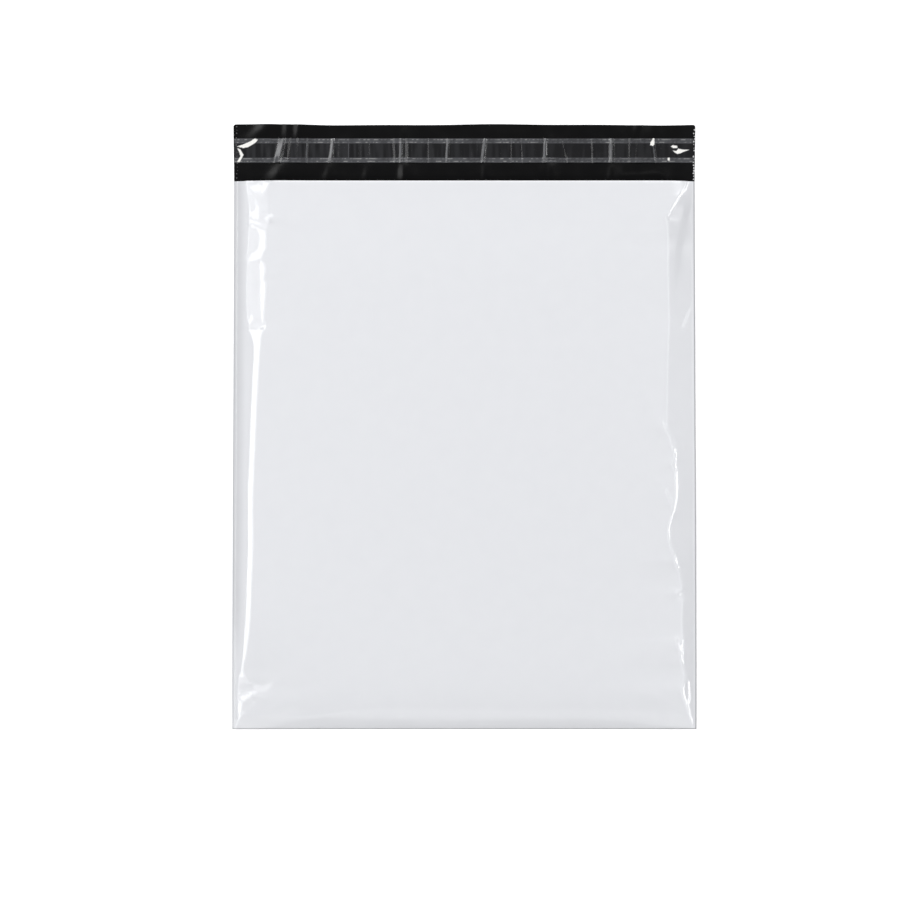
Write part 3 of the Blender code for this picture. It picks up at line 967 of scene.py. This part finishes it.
def crimps(name, inset, first, last, values):
    """A row of crimps on the lip's inner face, inset from its left end if negative, else from its right."""
    along = spread(first, last, 2.0)
    across = math.copysign(1, inset) * half_width(along) - inset
    height = lip_height(across, along) + FILM
    data = bpy.data.meshes.new(name)
    points = np.stack([across, along + FOLD_Y, height], 1) * MM
    data.from_pydata(points.tolist(), [(k, k + 1) for k in range(len(along) - 1)], [])
    made = bpy.data.objects.new(name, data)
    bpy.context.scene.collection.objects.link(made)
    modifier = made.modifiers.new("row", "NODES")
    modifier.node_group = CRIMP_TREE
    for item in CRIMP_TREE.interface.items_tree:
        if item.name in values:
            modifier[item.identifier] = values[item.name]
    evaluated = made.evaluated_get(bpy.context.evaluated_depsgraph_get())
    result = bpy.data.meshes.new_from_object(evaluated)
    made.modifiers.clear()
    made.data = result
    result.shade_smooth()
    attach(made, "root")


crimped_film = film_material(
    "crimped film", (0.08, 0.08, 0.084), (0.05, 0.05, 0.053), (0.30, 0.45), 1.45, 0.2)
cut_film = film_material("hot-cut film", (0.62, 0.62, 0.63), (0.40, 0.40, 0.41), (0.30, 0.45), 1.45, 0.2)
crimps("lip_end_crimps", -3.0, 593.5, 649.0,
       {"Spacing": 3.9 * MM, "Bead width": 1.3 * MM, "Bead length": 1.7 * MM, "Bead height": 0.4 * MM,
        "Jitter": 0.8 * MM, "Seed": 7, "Finish": crimped_film})
crimps("lip_cut_crimps", 1.2, 592.0, 645.0,
       {"Spacing": 3.1 * MM, "Bead width": 1.7 * MM, "Bead length": 1.9 * MM, "Bead height": 0.4 * MM,
        "Jitter": 0.5 * MM, "Seed": 11, "Finish": cut_film})

# ------------------------ floor, light and camera
centre = Vector(((film_low.x + film_high.x) / 2, (film_low.y + film_high.y) / 2, 0))


def floor():
    material = bpy.data.materials.new("studio floor")
    material.use_nodes = True
    shader = material.node_tree.nodes["Principled BSDF"]
    shader.inputs["Base Color"].default_value = (0.93, 0.93, 0.93, 1)
    shader.inputs["Roughness"].default_value = 0.9
    shader.inputs["Specular IOR Level"].default_value = 0.0
    shader.inputs["Emission Color"].default_value = (1, 1, 1, 1)
    shader.inputs["Emission Strength"].default_value = 0.28
    data = bpy.data.meshes.new("floor")
    side, low = 6.0, film_low.z - 0.0003
    corners = [(x * side, y * side, low) for x, y in ((-1, -1), (1, -1), (1, 1), (-1, 1))]
    data.from_pydata(corners, [], [(0, 1, 2, 3)])
    data.materials.append(material)
    made = bpy.data.objects.new("studio_floor", data)
    bpy.context.scene.collection.objects.link(made)


def softbox(name, direction, tilt, distance, size, radiance, shift=0.0):
    """A softbox facing the bag from this distance, tilt degrees down from overhead towards direction.

    Shift moves it along the bag, towards the lip.
    """
    data = bpy.data.lights.new(name, "AREA")
    data.shape = "RECTANGLE"
    data.size, data.size_y = size
    data.energy = radiance * math.pi * size[0] * size[1]
    lamp = bpy.data.objects.new(name, data)
    turn, down = math.radians(direction), math.radians(tilt)
    out = Vector((math.cos(turn) * math.sin(down), math.sin(turn) * math.sin(down), math.cos(down)))
    lamp.location = centre + out * distance + Vector((0, shift, 0))
    lamp.rotation_euler = out.to_track_quat("Z", "Y").to_euler()
    bpy.context.scene.collection.objects.link(lamp)
    return lamp


CEILING = 4.5
PANEL_LENGTH = 8.0


def ceiling_panel(name, direction, near, far, radiance):
    """A flat light panel overhead on one side of the bag, facing straight down."""
    lamp = softbox(name, 0, 0, CEILING + direction / 9000, (far - near, PANEL_LENGTH), radiance)
    turn = math.radians(direction)
    lamp.location += Vector((math.cos(turn), math.sin(turn), 0)) * (near + far) / 2
    lamp.rotation_euler = (0, 0, turn)


floor()
softbox("left_strip", 180, 48.7, 3.17, (4.4, 0.36), 6.5, shift=-0.25)
softbox("right_strip", 0, 67, 3.2, (4.8, 0.30), 9.0, shift=-0.30)
# Flat panels overhead leave a gap round the camera: name, direction, nearest and farthest edge, radiance
ceiling_panel("left_panel", 180, 1.90, 4.4, 2.08)
ceiling_panel("right_panel", 0, 1.90, 4.0, 1.41)
ceiling_panel("head_panel", 90, 2.20, 5.3, 2.95)
ceiling_panel("foot_panel", -90, 3.0, 5.5, 0.97)

world = bpy.data.worlds.new("studio")
world.use_nodes = True
world.node_tree.nodes["Background"].inputs["Color"].default_value = (1, 1, 1, 1)
world.node_tree.nodes["Background"].inputs["Strength"].default_value = 0.05
bpy.context.scene.world = world

LENS, SENSOR = 100.0, 36.0
FIELD = 0.9694  # width of the picture at the floor
CAMERA_RIGHT, CAMERA_UP = -0.0155, -0.0250
camera_data = bpy.data.cameras.new("camera")
camera_data.lens = LENS
camera_data.sensor_width = SENSOR
camera = bpy.data.objects.new("camera", camera_data)
camera.location = centre + Vector((CAMERA_RIGHT, CAMERA_UP, FIELD * LENS / SENSOR))
bpy.context.scene.collection.objects.link(camera)
bpy.context.scene.camera = camera
bpy.context.scene.view_settings.view_transform = "Standard"
